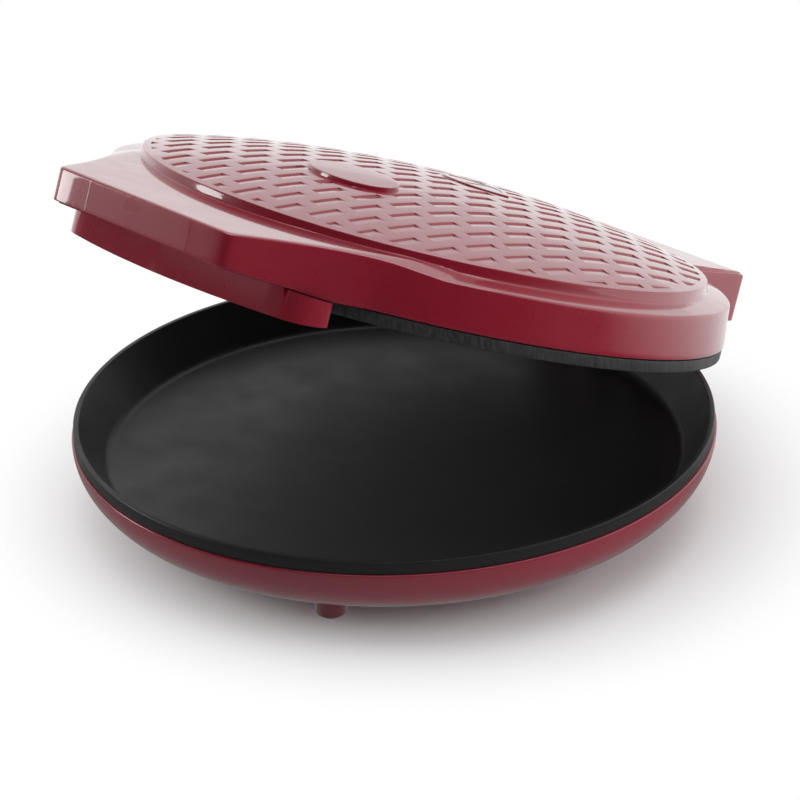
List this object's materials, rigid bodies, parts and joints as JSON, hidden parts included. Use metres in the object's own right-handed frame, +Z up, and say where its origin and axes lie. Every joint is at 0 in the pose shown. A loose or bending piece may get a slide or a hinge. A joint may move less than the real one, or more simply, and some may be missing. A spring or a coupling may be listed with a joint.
{
  "type": "electric pizza maker",
  "caption": "Round countertop electric pizza maker with a black non-stick pan and a hinged domed lid with a front handle, a raised lamp window and a heated upper plate.",
  "frame": {"origin": "on the table, under the middle of the whole appliance with the lid ajar as in the picture", "axes": "+Z up, -Y towards the lid's handle, +Y towards the hinge, +X to the right seen from the handle"},
  "size_m": [0.324, 0.3695, 0.2153],
  "materials": {
    "red_casing": "moulded plastic, satin gloss",
    "bottom_cover": "matt moulded plastic",
    "foot_rubber": "matt",
    "non_stick": "black non-stick coating, satin",
    "element_tube": "drawn tube",
    "reflector_sheet": "pressed bright sheet",
    "thermostat": "matt",
    "thermal_fuse": "plain",
    "terminal_block": "matt",
    "grommet_rubber": "matt",
    "screw_steel": "zinc plated",
    "pin_steel": "ground rod",
    "red_cover": "moulded plastic, high gloss",
    "red_frame": "moulded plastic, gloss",
    "badge_plate": "smooth gloss",
    "lamp_bezel": "smooth gloss",
    "red_lens": "clear tinted",
    "green_lens": "clear tinted",
    "red_lamp": "clear tinted",
    "green_lamp": "clear tinted",
    "lamp_board": "resin board"
  },
  "bodies": {
    "base": {"base_casing": "red_casing", "base_bottom_cover": "bottom_cover", "foot_pad_front_left": "foot_rubber", "foot_pad_front_right": "foot_rubber", "foot_pad_rear_left": "foot_rubber", "foot_pad_rear_right": "foot_rubber", "baking_pan": "non_stick", "lower_heating_element": "element_tube", "lower_reflector": "reflector_sheet", "lower_thermostat": "thermostat", "lower_thermal_fuse": "thermal_fuse", "terminal_block": "terminal_block", "cord_grommet": "grommet_rubber", "pan_screws": "screw_steel", "bottom_cover_screws": "screw_steel", "lower_reflector_screws": "screw_steel", "hinge_pin": "pin_steel"},
    "lid": {"lid_cover": "red_cover", "lid_inner_frame": "red_frame", "upper_plate": "non_stick", "upper_heating_element": "element_tube", "upper_reflector": "reflector_sheet", "upper_thermostat": "thermostat", "upper_thermal_fuse": "thermal_fuse", "badge_plate": "badge_plate", "lamp_bezel": "lamp_bezel", "red_lens": "red_lens", "green_lens": "green_lens", "red_lamp": "red_lamp", "green_lamp": "green_lamp", "lamp_board": "lamp_board", "lamp_board_screws": "screw_steel", "frame_screws": "screw_steel", "upper_reflector_screws": "screw_steel", "cover_screws": "screw_steel"}
  },
  "joints": [
    {"name": "lid_hinge", "type": "hinge", "parent": "base", "child": "lid", "pos_m": [0, 0.16107, 0.049], "axis": [-1, 0, 0], "range_deg": [-21.4, 73.6]}
  ]
}
